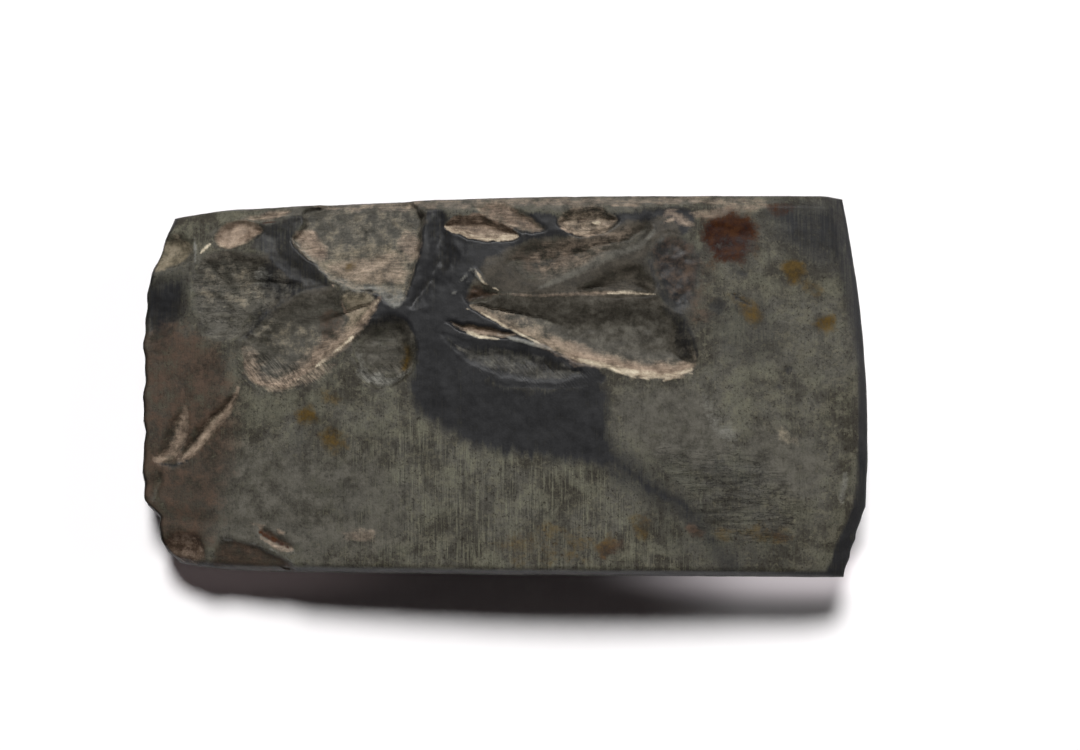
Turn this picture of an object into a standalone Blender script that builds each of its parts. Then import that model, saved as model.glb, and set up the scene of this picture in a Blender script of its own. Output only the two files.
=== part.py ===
"""A ground and flaked stone axe head, lying on its rounder face.

Metres, +Z up. +X runs from the butt to the cutting edge and +Y is the side that
lost the most flakes. The origin is on the resting flat, under the middle of the stone.
"""
import math

import bmesh
import bpy
from mathutils import Matrix, Vector

MM = 0.001

# Plan of the stone
LENGTH = 120.8 * MM
WIDTH = 63.4 * MM
BUTT_WIDTH = 59.2 * MM
BUTT_OFFSET = 0.6 * MM
FLAKED_SHOULDER_LENGTH = 16.0 * MM
PLAIN_SHOULDER_LENGTH = 20.0 * MM
BUTT_HALF_WIDTH = {1: BUTT_WIDTH / 2.0 - BUTT_OFFSET, -1: BUTT_WIDTH / 2.0 + BUTT_OFFSET}
BLADE_HALF_WIDTH = {1: WIDTH / 2.0, -1: WIDTH / 2.0}
SIDE_SWELL = {1: 0.8 * MM, -1: 0.35 * MM}
BUTT_SHOULDER = {1: 1.8 * MM, -1: 2.6 * MM}
BUTT_SHOULDER_LENGTH = {1: FLAKED_SHOULDER_LENGTH, -1: PLAIN_SHOULDER_LENGTH}
BLADE_SHOULDER = 1.3 * MM
BLADE_SHOULDER_LENGTH = 10.0 * MM

# Butt and cutting edge; the starts and spans are shares of the half width
BUTT_SLANT = 5.2 * MM
BUTT_SLANT_START = 0.43
BUTT_SLANT_CURVE = 1.8
BUTT_NOTCH = 2.6 * MM
BUTT_NOTCH_START = 0.69
BUTT_NOTCH_SPAN = 0.17
BUTT_CORNER = 3.2 * MM
BUTT_CORNER_START = 0.87
BUTT_RIPPLES = ((0.16 * MM, 17.0), (0.12 * MM, 41.0))
BUTT_ROUND = 1.0 * MM
EDGE_BOW = 4.0 * MM
EDGE_BOW_CENTRE = -0.25
EDGE_BREAK = 2.5 * MM
EDGE_BREAK_START = 0.64
EDGE_BREAK_CURVE = 0.8

# Heights above the resting flat
THICKNESS = 20.0 * MM
THICKEST_SHARE = 0.60
BUTT_TOP = 12.5 * MM
BUTT_UNDERSIDE = 2.5 * MM
BLADE_TOP = 17.0 * MM
EDGE_HEIGHT = 13.8 * MM
EDGE_THICKNESS = 0.6 * MM
BREAK_THICKNESS = 1.8 * MM
FLAT_DEPTH = 0.5 * MM
BUTT_TOP_CURVE = 1.7
BLADE_TOP_CURVE = 2.0
BUTT_UNDER_CURVE = 2.2
BLADE_UNDER_CURVE = 1.8
BEVEL_CURVE = 1.35

# Cross-section, the drops as shares of the local thickness
TOP_CROWN = 0.05
BELLY = 0.22
BELLY_CURVE = 2.5
FACET_DROP = 0.11
LOWER_FACET_RISE = 0.10
FACET_WIDTH = {1: 1.8 * MM, -1: 0.8 * MM}
SIDE_ROUND = 0.4 * MM
BEVEL_WIDTH = {1: 3.2 * MM, -1: 5.4 * MM}
BEVEL_NARROWING = 1.2

# How the faces are divided
BEVEL_BAND = 0.05
FACET_BAND = 0.04
LENGTH_STEPS = 22
WIDTH_STEPS = 13
SIDE_STEPS = 4
BEVEL_STEPS = 3

# Scars are the lower parts of spheres stretched to size
SCAR_SEGMENTS = 24
SCAR_RINGS = 14
SCAR_SHARE = 0.5
SLOPE_STEP = 0.5 * MM
SLOPE_LIMIT = 0.4
SMOOTH_ANGLE = 24.0


def clamp(value, low=0.0, high=1.0):
    return max(low, min(high, value))


def mix(start, end, share):
    return start + (end - start) * share


def smooth_step(value):
    value = clamp(value)
    return value * value * (3.0 - 2.0 * value)


def share_past(value, start):
    """How far a value is past its start, from 0 there to 1 at the side."""
    return clamp((value - start) / (1.0 - start))


def edge_break(across):
    """How much of the corner has broken away, from none to all of it."""
    return share_past(-across, EDGE_BREAK_START) ** EDGE_BREAK_CURVE


def butt_x(across):
    """Butt outline: slanting on one side, notched and rounded on the other."""
    slant = BUTT_SLANT * share_past(across, BUTT_SLANT_START) ** BUTT_SLANT_CURVE
    notch = BUTT_NOTCH * smooth_step((-across - BUTT_NOTCH_START) / BUTT_NOTCH_SPAN)
    corner = BUTT_CORNER * share_past(-across, BUTT_CORNER_START) ** 2
    ripple = sum(high * (1.0 + math.sin(turns * across)) for high, turns in BUTT_RIPPLES)
    return -LENGTH / 2.0 + slant + notch + corner + ripple


def blade_x(across):
    """Cutting edge: a shallow arc, with one corner broken off."""
    bow = EDGE_BOW * ((across - EDGE_BOW_CENTRE) / (1.0 - EDGE_BOW_CENTRE)) ** 2
    return LENGTH / 2.0 - bow - EDGE_BREAK * edge_break(across)


def half_width(x, side):
    """Half width of the stone at x, on the +Y side (1) or the -Y side (-1)."""
    share = clamp(x / LENGTH + 0.5)
    width = mix(BUTT_HALF_WIDTH[side], BLADE_HALF_WIDTH[side], share)
    width += SIDE_SWELL[side] * (1.0 - (2.0 * share - 1.0) ** 2)
    from_butt = x + LENGTH / 2.0
    shoulder = clamp(1.0 - from_butt / BUTT_SHOULDER_LENGTH[side])
    width -= BUTT_SHOULDER[side] * shoulder ** 2
    if side > 0:
        from_blade = LENGTH / 2.0 - x
        width -= BLADE_SHOULDER * clamp(1.0 - from_blade / BLADE_SHOULDER_LENGTH) ** 2
    return width


def top_line(along):
    """Height of the upper face along the middle, before the cutting bevel."""
    behind = clamp(1.0 - along / THICKEST_SHARE)
    ahead = clamp((along - THICKEST_SHARE) / (1.0 - THICKEST_SHARE))
    butt_drop = (THICKNESS - BUTT_TOP) * behind ** BUTT_TOP_CURVE
    blade_drop = (THICKNESS - BLADE_TOP) * ahead ** BLADE_TOP_CURVE
    return THICKNESS - butt_drop - blade_drop


def bottom_line(along, edge_bottom):
    """Height of the underside along the middle; its lowest part is cut flat later."""
    behind = clamp(1.0 - along / THICKEST_SHARE)
    ahead = clamp((along - THICKEST_SHARE) / (1.0 - THICKEST_SHARE))
    butt_rise = (BUTT_UNDERSIDE + FLAT_DEPTH) * behind ** BUTT_UNDER_CURVE
    blade_rise = (edge_bottom + FLAT_DEPTH) * ahead ** BLADE_UNDER_CURVE
    return -FLAT_DEPTH + butt_rise + blade_rise


def bevel_width(across):
    return mix(BEVEL_WIDTH[-1], BEVEL_WIDTH[1], smooth_step((across + 1.0) / BEVEL_NARROWING))


def face_heights(x, along, across):
    """Heights of the upper face and the underside at one place."""
    edge_half = (EDGE_THICKNESS + BREAK_THICKNESS * edge_break(across)) / 2.0
    to_edge = (1.0 - along) * (blade_x(across) - butt_x(across))
    bevel = clamp(1.0 - to_edge / bevel_width(across)) ** BEVEL_CURVE
    top = mix(top_line(along), EDGE_HEIGHT + edge_half, bevel)
    bottom = bottom_line(along, EDGE_HEIGHT - edge_half)
    thickness = top - bottom
    side = 1 if across >= 0.0 else -1
    to_side = (1.0 - abs(across)) * half_width(x, side)
    facet = clamp(1.0 - to_side / FACET_WIDTH[side])
    top -= thickness * (TOP_CROWN * across ** 2 + FACET_DROP * facet)
    bottom += thickness * (BELLY * abs(across) ** BELLY_CURVE + LOWER_FACET_RISE * facet)
    return top, bottom


def shares_at(x, y):
    """The shares along and across of a point in plan."""
    side = 1 if y >= 0.0 else -1
    across = clamp(y / half_width(x, side), -1.0, 1.0)
    start = butt_x(across)
    return clamp((x - start) / (blade_x(across) - start)), across


def surface_height(x, y, face):
    along, across = shares_at(x, y)
    top, bottom = face_heights(x, along, across)
    return top if face > 0 else max(0.0, bottom)


def follow_bevel(station, across):
    """Share along for a station, so that one row of stations lies on the bevel's line."""
    band = bevel_width(across) / (blade_x(across) - butt_x(across))
    if station > 1.0 - BEVEL_BAND:
        return 1.0 - band * (1.0 - station) / BEVEL_BAND
    return (1.0 - band) * station / (1.0 - BEVEL_BAND)


def follow_facet(station, x):
    """Share across for a station, so that one row lies on each side facet's line."""
    side = 1 if station >= 0.0 else -1
    band = FACET_WIDTH[side] / half_width(x, side)
    reach = abs(station)
    if reach > 1.0 - FACET_BAND:
        return side * (1.0 - band * (1.0 - reach) / FACET_BAND)
    return side * (1.0 - band) * reach / (1.0 - FACET_BAND)


def stone_point(station):
    """Moves a point of the divided cube, each side -1 to 1, to its place on the stone."""
    row = (station.x + 1.0) / 2.0
    x = mix(butt_x(station.y), blade_x(station.y), follow_bevel(row, station.y))
    across = follow_facet(station.y, x)
    along = follow_bevel(row, across)
    x = mix(butt_x(across), blade_x(across), along)
    top, bottom = face_heights(x, along, across)
    side = 1 if across >= 0.0 else -1
    y = across * (half_width(x, side) - SIDE_ROUND * station.z ** 2)
    if row == 0.0:
        x += BUTT_ROUND * station.z ** 2
    return Vector((x, y, mix(bottom, top, (station.z + 1.0) / 2.0)))


def even_stations(count, low, high):
    return [mix(low, high, step / count) for step in range(1, count)]


def divide(bm, axis, stations):
    """Cuts the cube across one axis at each station."""
    normal = Vector((0.0, 0.0, 0.0))
    normal[axis] = 1.0
    for station in stations:
        pieces = bm.verts[:] + bm.edges[:] + bm.faces[:]
        bmesh.ops.bisect_plane(bm, geom=pieces, plane_co=normal * station, plane_no=normal)


def cut_resting_flat(bm):
    """Takes off what is below the floor and closes the cut with one flat face."""
    pieces = bm.verts[:] + bm.edges[:] + bm.faces[:]
    cut = bmesh.ops.bisect_plane(
        bm, geom=pieces, plane_co=(0.0, 0.0, 0.0), plane_no=(0.0, 0.0, -1.0), clear_outer=True)
    rim = [item for item in cut["geom_cut"] if isinstance(item, bmesh.types.BMEdge)]
    bmesh.ops.edgeloop_fill(bm, edges=rim)


def stone_body():
    """The whole stone before it was flaked."""
    bm = bmesh.new()
    bmesh.ops.create_cube(bm, size=2.0)
    bevel_start = 1.0 - 2.0 * BEVEL_BAND
    lengthwise = even_stations(LENGTH_STEPS, -1.0, bevel_start) + [bevel_start]
    lengthwise += even_stations(BEVEL_STEPS, bevel_start, 1.0)
    facet_start = 1.0 - FACET_BAND
    crosswise = [-facet_start] + even_stations(WIDTH_STEPS, -facet_start, facet_start) + [facet_start]
    divide(bm, 0, lengthwise)
    divide(bm, 1, crosswise)
    divide(bm, 2, even_stations(SIDE_STEPS, -1.0, 1.0))
    for vert in bm.verts:
        vert.co = stone_point(vert.co)
    cut_resting_flat(bm)
    bmesh.ops.recalc_face_normals(bm, faces=bm.faces[:])
    return bm


def slope_at(x, y, face):
    """Slope of a face along X and Y, limited where an edge is near."""
    here = surface_height(x, y, face)
    inward = -SLOPE_STEP if y > 0.0 else SLOPE_STEP
    along = (surface_height(x + SLOPE_STEP, y, face) - here) / SLOPE_STEP
    across = (surface_height(x, y + inward, face) - here) / inward
    return clamp(along, -SLOPE_LIMIT, SLOPE_LIMIT), clamp(across, -SLOPE_LIMIT, SLOPE_LIMIT)


def scar_cutter(name, along, across, size, turn, depth, lean=(0.0, 0.0), face=1):
    """A stretched sphere that leaves one scooped scar.

    along is a share of the length from the butt and across a share of the half width.
    size is the scar's half length and half breadth, turn its direction in degrees, depth
    how deep it goes below the face, and lean how its floor slopes besides the face.
    """
    x = (along - 0.5) * LENGTH
    y = across * half_width(x, 1 if across >= 0.0 else -1)
    slope_x, slope_y = slope_at(x, y, face)
    tall = depth / (1.0 - SCAR_SHARE)
    wider = 1.0 / math.sqrt(1.0 - SCAR_SHARE ** 2)
    shear = Matrix.Identity(4)
    shear[2][0] = slope_x + lean[0]
    shear[2][1] = slope_y + lean[1]
    height = surface_height(x, y, face) + face * SCAR_SHARE * tall
    stretch = Matrix.Diagonal((size[0] * wider, size[1] * wider, tall, 1.0))
    place = Matrix.Translation((x, y, height)) @ shear @ Matrix.Rotation(math.radians(turn), 4, "Z")
    bm = bmesh.new()
    bmesh.ops.create_uvsphere(bm, u_segments=SCAR_SEGMENTS, v_segments=SCAR_RINGS, radius=1.0)
    bmesh.ops.transform(bm, matrix=place @ stretch, verts=bm.verts[:])
    return mesh_object("cut_" + name, bm)


def mesh_object(name, bm):
    mesh = bpy.data.meshes.new(name)
    bm.to_mesh(mesh)
    bm.free()
    return bpy.data.objects.new(name, mesh)


def upper_scars():
    """Flake scars on the upper face, from the butt towards the cutting edge."""
    return [
        scar_cutter("corner_scoop", 0.040, 0.725, (3.6 * MM, 4.4 * MM), 20, 1.6 * MM, (0.0, -0.12)),
        scar_cutter("butt_facet", 0.040, 0.455, (4.6 * MM, 5.0 * MM), 90, 1.0 * MM, (0.10, 0.12)),
        scar_cutter("fibrous_scar", 0.144, 0.582, (9.2 * MM, 9.6 * MM), 0, 1.7 * MM),
        scar_cutter("pink_chip", 0.129, 0.836, (4.2 * MM, 3.6 * MM), 10, 1.3 * MM, (0.0, -0.35)),
        scar_cutter("rim_chip", 0.178, 0.926, (4.6 * MM, 1.6 * MM), 4, 0.9 * MM, (0.0, -0.30)),
        scar_cutter("dark_wall", 0.203, 0.632, (6.8 * MM, 5.6 * MM), 42, 2.3 * MM, (0.0, 0.10)),
        scar_cutter("fan_scar", 0.308, 0.762, (11.6 * MM, 10.6 * MM), -6, 1.3 * MM, (0.02, -0.17)),
        scar_cutter("leaf_scar", 0.214, 0.265, (11.8 * MM, 6.9 * MM), 38, 2.3 * MM, (0.0, 0.02)),
        scar_cutter("leaf_side", 0.290, 0.386, (7.0 * MM, 3.9 * MM), 58, 2.0 * MM),
        scar_cutter("bean_scar", 0.333, 0.217, (5.4 * MM, 7.2 * MM), -8, 2.0 * MM, (0.0, 0.02)),
        scar_cutter("dark_facet", 0.425, 0.635, (6.6 * MM, 11.5 * MM), 12, 1.5 * MM, (0.05, 0.10)),
        scar_cutter("lens_scar", 0.465, 0.847, (6.3 * MM, 2.5 * MM), -12, 1.5 * MM, (0.0, 0.02)),
        scar_cutter("strip_scar", 0.521, 0.910, (5.6 * MM, 2.0 * MM), -22, 1.0 * MM, (0.0, -0.18)),
        scar_cutter("edge_scoop", 0.615, 0.900, (5.7 * MM, 2.9 * MM), -3, 1.3 * MM, (0.0, -0.02)),
        scar_cutter("brown_scoop", 0.584, 0.688, (12.5 * MM, 5.6 * MM), 12, 1.9 * MM, (0.0, -0.08)),
        scar_cutter("peak_scoop", 0.660, 0.587, (7.6 * MM, 4.0 * MM), 3, 1.9 * MM, (0.0, 0.04)),
        scar_cutter("great_scar", 0.648, 0.300, (17.0 * MM, 6.9 * MM), -14, 2.9 * MM, (0.0, 0.06)),
        scar_cutter("great_scar_tip", 0.508, 0.402, (6.5 * MM, 2.9 * MM), -22, 1.8 * MM),
        scar_cutter("sliver_scar", 0.469, 0.307, (6.0 * MM, 1.5 * MM), -18, 1.2 * MM, (0.0, -0.05)),
        scar_cutter("under_scoop", 0.521, 0.164, (12.5 * MM, 3.7 * MM), -13, 1.5 * MM, (0.0, 0.05)),
        scar_cutter("rough_patch", 0.734, 0.582, (4.2 * MM, 7.4 * MM), 8, 0.7 * MM),
        scar_cutter("left_gash", 0.040, -0.264, (5.2 * MM, 2.3 * MM), 62, 1.2 * MM, (0.10, 0.0)),
        scar_cutter("right_gash", 0.090, -0.175, (7.4 * MM, 1.6 * MM), 50, 1.2 * MM, (0.10, 0.0)),
        scar_cutter("low_gash", 0.022, -0.519, (2.8 * MM, 0.9 * MM), 72, 0.6 * MM),
        scar_cutter("low_corner", 0.058, -0.895, (4.4 * MM, 3.0 * MM), 8, 1.2 * MM, (0.0, 0.05)),
        scar_cutter("low_side", 0.153, -0.930, (7.8 * MM, 2.6 * MM), -14, 1.2 * MM, (0.0, 0.12)),
        scar_cutter("low_lens", 0.183, -0.795, (3.9 * MM, 1.1 * MM), -28, 0.6 * MM),
    ]


def under_scars():
    """A few broad scars that thin the butt on the underside."""
    return [
        scar_cutter("under_butt", 0.10, 0.30, (9.0 * MM, 7.0 * MM), 20, 1.3 * MM, face=-1),
        scar_cutter("under_corner", 0.16, -0.52, (10.0 * MM, 6.5 * MM), -25, 1.4 * MM, face=-1),
        scar_cutter("under_side", 0.36, 0.80, (11.0 * MM, 4.5 * MM), 4, 1.2 * MM, face=-1),
    ]


def stone_material():
    material = bpy.data.materials.new("dark jade")
    material.use_nodes = True
    shader = material.node_tree.nodes["Principled BSDF"]
    shader.inputs["Base Color"].default_value = (0.062, 0.058, 0.048, 1.0)
    shader.inputs["Roughness"].default_value = 0.48
    shader.inputs["Metallic"].default_value = 0.0
    return material


def new_collection(name):
    collection = bpy.data.collections.new(name)
    bpy.context.scene.collection.children.link(collection)
    return collection


def clear_scene():
    for item in list(bpy.data.objects):
        bpy.data.objects.remove(item, do_unlink=True)


def build():
    clear_scene()
    stone_parts = new_collection("axe head")
    cutters = new_collection("axe head cutters")
    stone = mesh_object("axe_head", stone_body())
    stone_parts.objects.link(stone)
    stone.data.materials.append(stone_material())
    for cutter in upper_scars() + under_scars():
        cutters.objects.link(cutter)
        cutter.hide_render = True
        cutter.display_type = "WIRE"
        cut = stone.modifiers.new(cutter.name, "BOOLEAN")
        cut.operation = "DIFFERENCE"
        cut.solver = "EXACT"
        cut.object = cutter
    stone.data.shade_smooth()
    stone.data.set_sharp_from_angle(angle=math.radians(SMOOTH_ANGLE))


build()
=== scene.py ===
"""Looks of the stone axe head: one dense mesh of the flaked stone, its materials, light and camera."""
import math

import bmesh
import bpy
import numpy as np
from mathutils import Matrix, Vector


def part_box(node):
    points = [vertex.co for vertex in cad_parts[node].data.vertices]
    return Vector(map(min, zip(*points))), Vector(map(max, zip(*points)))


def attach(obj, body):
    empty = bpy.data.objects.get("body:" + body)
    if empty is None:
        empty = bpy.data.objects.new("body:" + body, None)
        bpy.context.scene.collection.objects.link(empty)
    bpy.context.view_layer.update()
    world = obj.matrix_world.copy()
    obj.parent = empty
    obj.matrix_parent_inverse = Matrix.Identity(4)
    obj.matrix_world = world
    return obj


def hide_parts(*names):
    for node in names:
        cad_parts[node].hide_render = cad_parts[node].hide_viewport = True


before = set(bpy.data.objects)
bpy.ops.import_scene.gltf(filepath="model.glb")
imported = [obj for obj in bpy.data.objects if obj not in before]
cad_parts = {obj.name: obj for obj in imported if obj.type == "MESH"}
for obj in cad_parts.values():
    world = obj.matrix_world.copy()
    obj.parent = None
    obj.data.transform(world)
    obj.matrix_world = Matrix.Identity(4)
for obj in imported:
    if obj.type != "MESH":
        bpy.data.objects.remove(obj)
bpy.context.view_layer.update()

MM = 0.001

# The stone, in millimetres, from the frame and from the same sizes as the solid
NODE_LOW, NODE_HIGH = [np.array(corner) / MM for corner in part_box("axe_head")]
LENGTH = NODE_HIGH[0] - NODE_LOW[0] + 0.12
BUTT_START = NODE_LOW[0] - 0.12
BUTT_HALF_WIDTH = {1: 29.0, -1: 30.2}
BLADE_HALF_WIDTH = {1: 31.7, -1: 31.3}
SIDE_SWELL = {1: 1.3, -1: 0.2}
BUTT_SHOULDER = {1: 1.8, -1: 2.6}
BUTT_SHOULDER_LENGTH = {1: 16.0, -1: 20.0}
BUTT_SLANT = 5.2
BUTT_SLANT_START = 0.43
BUTT_NOTCH = 2.9
BUTT_NOTCH_START = 0.67
BUTT_NOTCH_SPAN = 0.10
BUTT_CORNER = 3.2
BUTT_CORNER_START = 0.87
BUTT_RIPPLES = ((0.16, 17.0), (0.12, 41.0))
BLADE_SHOULDER = 1.3
BLADE_SHOULDER_LENGTH = 10.0
EDGE_BOW = 4.0
EDGE_BOW_CENTRE = -0.25
EDGE_BREAK = 2.5
EDGE_CHIPS = 0.4
EDGE_BREAK_START = 0.64
THICKNESS = 20.0
THICKEST_SHARE = 0.60
BUTT_TOP = 12.5
BUTT_UNDERSIDE = 2.5
BLADE_TOP = 17.0
EDGE_HEIGHT = 13.8
EDGE_THICKNESS = 0.6
BREAK_THICKNESS = 1.8
FLAT_DEPTH = 0.5
TOP_CROWN = 0.05
BELLY = 0.22
FACET_DROP = 0.11
LOWER_FACET_RISE = 0.10
FACET_WIDTH = {1: 1.8, -1: 0.8}
SIDE_ROUND = 0.4
BUTT_ROUND = 1.0
BEVEL_WIDTH = {1: 3.2, -1: 5.4}
RIDGE_ROUND = 0.35

# Division of the mesh; across, the upper face has COARSER times the rows of the underside
COLUMNS = 352
UNDER_ROWS = 50
COARSER = 4
SIDE_ROWS = 6
BEVEL_BAND = 0.05
FACET_BAND = 0.04
DENSE_ALONG = (0.02, 0.80)
DENSE_ACROSS = (-0.10, 1.0)
LEAST_THICKNESS = 0.5

# The photograph's frame, and where the stone lies in it
PHOTO_WIDTH = 1080
PHOTO_HEIGHT = 750
PIXELS_PER_MM = 6.06
PHOTO_ORIGIN = (502.5, 387.5)
PHOTO_PLANE = 16.0

# Camera, which looks down almost upright
CAMERA_LENS = 100.0
CAMERA_SENSOR = 36.0
CAMERA_ELEVATION = 88.0
CAMERA_DISTANCE = PHOTO_WIDTH / PIXELS_PER_MM * CAMERA_LENS / CAMERA_SENSOR

# Floor: half its side in metres, and its colour
FLOOR_HALF = 3.0
FLOOR_COLOUR = (0.92, 0.90, 0.905, 1.0)

# Suns: name, compass angle from +Y towards +X, elevation, strength and width
SUNS = (("key", -2.0, 59.5, 3.95, 16.0), ("low light", 66.0, 28.0, 0.55, 20.0))
WORLD_COLOUR = (1.0, 0.84, 0.86, 1.0)
WORLD_STRENGTH = 0.025

# Lamps at the floor: name, place along the shaded side in millimetres, compass angle, power and
# colour; their distance and radius are in metres, their side in millimetres, their beam in degrees
KICKERS = (
    ("blade kicker", 52.0, 90.0, 39.0, (1.0, 0.93, 0.965)),
    ("butt kicker", -46.0, 270.0, 3.6, (1.0, 0.78, 0.78)),
)
KICKER_SIDE = -31.2
KICKER_ELEVATION = 10.0
KICKER_DISTANCE = 0.6
KICKER_BEAM = 0.8
KICKER_RADIUS = 0.002

# How much light reaches the upper face, and how much of it the surface mirrors at once
LIGHT_LEVEL = 1.17
HAZE = 0.008


def smooth(value):
    value = np.clip(value, 0.0, 1.0)
    return value * value * (3.0 - 2.0 * value)


def mix(start, end, share):
    return start + (end - start) * share


def by_side(across, sizes):
    """Picks the size of the +Y or the -Y side for each point."""
    return np.where(across >= 0.0, sizes[1], sizes[-1])


def past(value, start):
    return np.clip((value - start) / (1.0 - start), 0.0, 1.0)


# Form of the whole stone

def edge_break(across):
    return past(-across, EDGE_BREAK_START) ** 0.8


def butt_x(across):
    slant = BUTT_SLANT * past(across, BUTT_SLANT_START) ** 1.8
    notch = BUTT_NOTCH * smooth((-across - BUTT_NOTCH_START) / BUTT_NOTCH_SPAN)
    corner = BUTT_CORNER * past(-across, BUTT_CORNER_START) ** 2
    ripple = sum(high * (1.0 + np.sin(turns * across)) for high, turns in BUTT_RIPPLES)
    return BUTT_START + slant + notch + corner + ripple


def blade_x(across):
    bow = EDGE_BOW * ((across - EDGE_BOW_CENTRE) / (1.0 - EDGE_BOW_CENTRE)) ** 2
    chips = EDGE_CHIPS * abs(np.sin(31.0 * across)) * np.minimum(edge_break(across), 0.6)
    return BUTT_START + LENGTH - bow - EDGE_BREAK * edge_break(across) - chips


def half_width(x, across):
    share = np.clip((x - BUTT_START) / LENGTH, 0.0, 1.0)
    width = mix(by_side(across, BUTT_HALF_WIDTH), by_side(across, BLADE_HALF_WIDTH), share)
    width = width + by_side(across, SIDE_SWELL) * (1.0 - (2.0 * share - 1.0) ** 2)
    shoulder = np.clip(1.0 - (x - BUTT_START) / by_side(across, BUTT_SHOULDER_LENGTH), 0.0, 1.0)
    width = width - by_side(across, BUTT_SHOULDER) * shoulder ** 2
    blade = np.clip(1.0 - (BUTT_START + LENGTH - x) / BLADE_SHOULDER_LENGTH, 0.0, 1.0)
    return width - np.where(across > 0.0, BLADE_SHOULDER * blade ** 2, 0.0)


def bevel_width(across):
    return mix(BEVEL_WIDTH[-1], BEVEL_WIDTH[1], smooth((across + 1.0) / 1.2))


def top_line(share):
    """Height of the unflaked upper face along the middle of the stone."""
    behind = np.clip(1.0 - share / THICKEST_SHARE, 0.0, 1.0)
    ahead = np.clip((share - THICKEST_SHARE) / (1.0 - THICKEST_SHARE), 0.0, 1.0)
    return THICKNESS - (THICKNESS - BUTT_TOP) * behind ** 1.7 - (THICKNESS - BLADE_TOP) * ahead ** 2


def face_heights(x, along, across):
    """Heights of the unflaked upper face and of the underside."""
    behind = np.clip(1.0 - along / THICKEST_SHARE, 0.0, 1.0)
    ahead = np.clip((along - THICKEST_SHARE) / (1.0 - THICKEST_SHARE), 0.0, 1.0)
    edge_half = (EDGE_THICKNESS + BREAK_THICKNESS * edge_break(across)) / 2.0
    bottom = -FLAT_DEPTH + (BUTT_UNDERSIDE + FLAT_DEPTH) * behind ** 2.2
    bottom = bottom + (EDGE_HEIGHT - edge_half + FLAT_DEPTH) * ahead ** 1.8
    to_edge = (1.0 - along) * (blade_x(across) - butt_x(across))
    bevel = np.clip(1.0 - to_edge / bevel_width(across), 0.0, 1.0) ** 1.35
    top = mix(top_line(along), EDGE_HEIGHT + edge_half, bevel)
    thickness = top - bottom
    to_side = (1.0 - abs(across)) * half_width(x, across)
    facet = np.clip(1.0 - to_side / by_side(across, FACET_WIDTH), 0.0, 1.0)
    top = top - thickness * (TOP_CROWN * across ** 2 + FACET_DROP * facet)
    bottom = bottom + thickness * (BELLY * abs(across) ** 2.5 + LOWER_FACET_RISE * facet)
    return top, np.maximum(bottom, 0.0)


def follow_bevel(station, across):
    band = bevel_width(across) / (blade_x(across) - butt_x(across))
    body = (1.0 - band) * station / (1.0 - BEVEL_BAND)
    return np.where(station > 1.0 - BEVEL_BAND, 1.0 - band * (1.0 - station) / BEVEL_BAND, body)


def follow_facet(station, x):
    side = np.sign(station)
    band = by_side(station, FACET_WIDTH) / half_width(x, station)
    reach = abs(station)
    body = (1.0 - band) * reach / (1.0 - FACET_BAND)
    return side * np.where(reach > 1.0 - FACET_BAND, 1.0 - band * (1.0 - reach) / FACET_BAND, body)


def place_in_plan(row, station, height_share):
    """Plan position and shares for stations along (0 to 1) and across (-1 to 1)."""
    x = mix(butt_x(station), blade_x(station), follow_bevel(row, station))
    across = follow_facet(station, x)
    along = follow_bevel(row, across)
    x = mix(butt_x(across), blade_x(across), along)
    y = across * (half_width(x, across) - SIDE_ROUND * height_share ** 2)
    x = x + np.where(row == 0.0, BUTT_ROUND * height_share ** 2, 0.0)
    return x, y, along, across


# Noise over the plan, the same on each run

def value_noise(x, y, size, seed):
    table = np.random.default_rng(seed).random((64, 64)) * 2.0 - 1.0
    u, v = x / size, y / size
    column, row = np.floor(u).astype(int), np.floor(v).astype(int)
    across, up = smooth(u - column), smooth(v - row)
    low = mix(table[column % 64, row % 64], table[(column + 1) % 64, row % 64], across)
    high = mix(table[column % 64, (row + 1) % 64], table[(column + 1) % 64, (row + 1) % 64], across)
    return mix(low, high, up)


def layered_noise(x, y, size, seed, layers=3):
    total = 0.0
    for layer in range(layers):
        share = 1.0 / 2 ** layer
        noise = value_noise(x + 7.3 * layer, y - 3.1 * layer, size * share, seed + layer)
        total = total + share * noise
    return total


# Marks on the stone, placed by photo pixels and sized in millimetres; among them are painted highlights
# and painted shade

def spot(column, row):
    """The place on the stone, in millimetres, that the camera sees at a photo pixel."""
    across, up = (column - PHOTO_WIDTH / 2) / PIXELS_PER_MM, (PHOTO_HEIGHT / 2 - row) / PIXELS_PER_MM
    look_x, look_y = looked_at()
    rise = top_line((look_x + across - BUTT_START) / LENGTH) - 1.0 - PHOTO_PLANE
    nearer = 1.0 - rise / CAMERA_DISTANCE
    lean = rise / math.tan(math.radians(CAMERA_ELEVATION))
    return look_x + across * nearer, look_y + up * nearer - lean


def looked_at():
    """The place in plan that the camera aims at."""
    return ((PHOTO_WIDTH / 2 - PHOTO_ORIGIN[0]) / PIXELS_PER_MM,
            (PHOTO_ORIGIN[1] - PHOTO_HEIGHT / 2) / PIXELS_PER_MM)


def rounded(outline, passes=2):
    """Corner cutting, which turns a few points into a smooth closed outline."""
    points = np.array([spot(*point) for point in outline])
    for _ in range(passes):
        after = np.roll(points, -1, axis=0)
        points = np.stack([mix(points, after, 0.25), mix(points, after, 0.75)], axis=1).reshape(-1, 2)
    return points


def distance_to_segment(x, y, start, end):
    run = end - start
    share = np.clip(((x - start[0]) * run[0] + (y - start[1]) * run[1]) / (run @ run), 0.0, 1.0)
    away_x, away_y = x - start[0] - share * run[0], y - start[1] - share * run[1]
    return np.hypot(away_x, away_y), away_y, share


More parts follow.
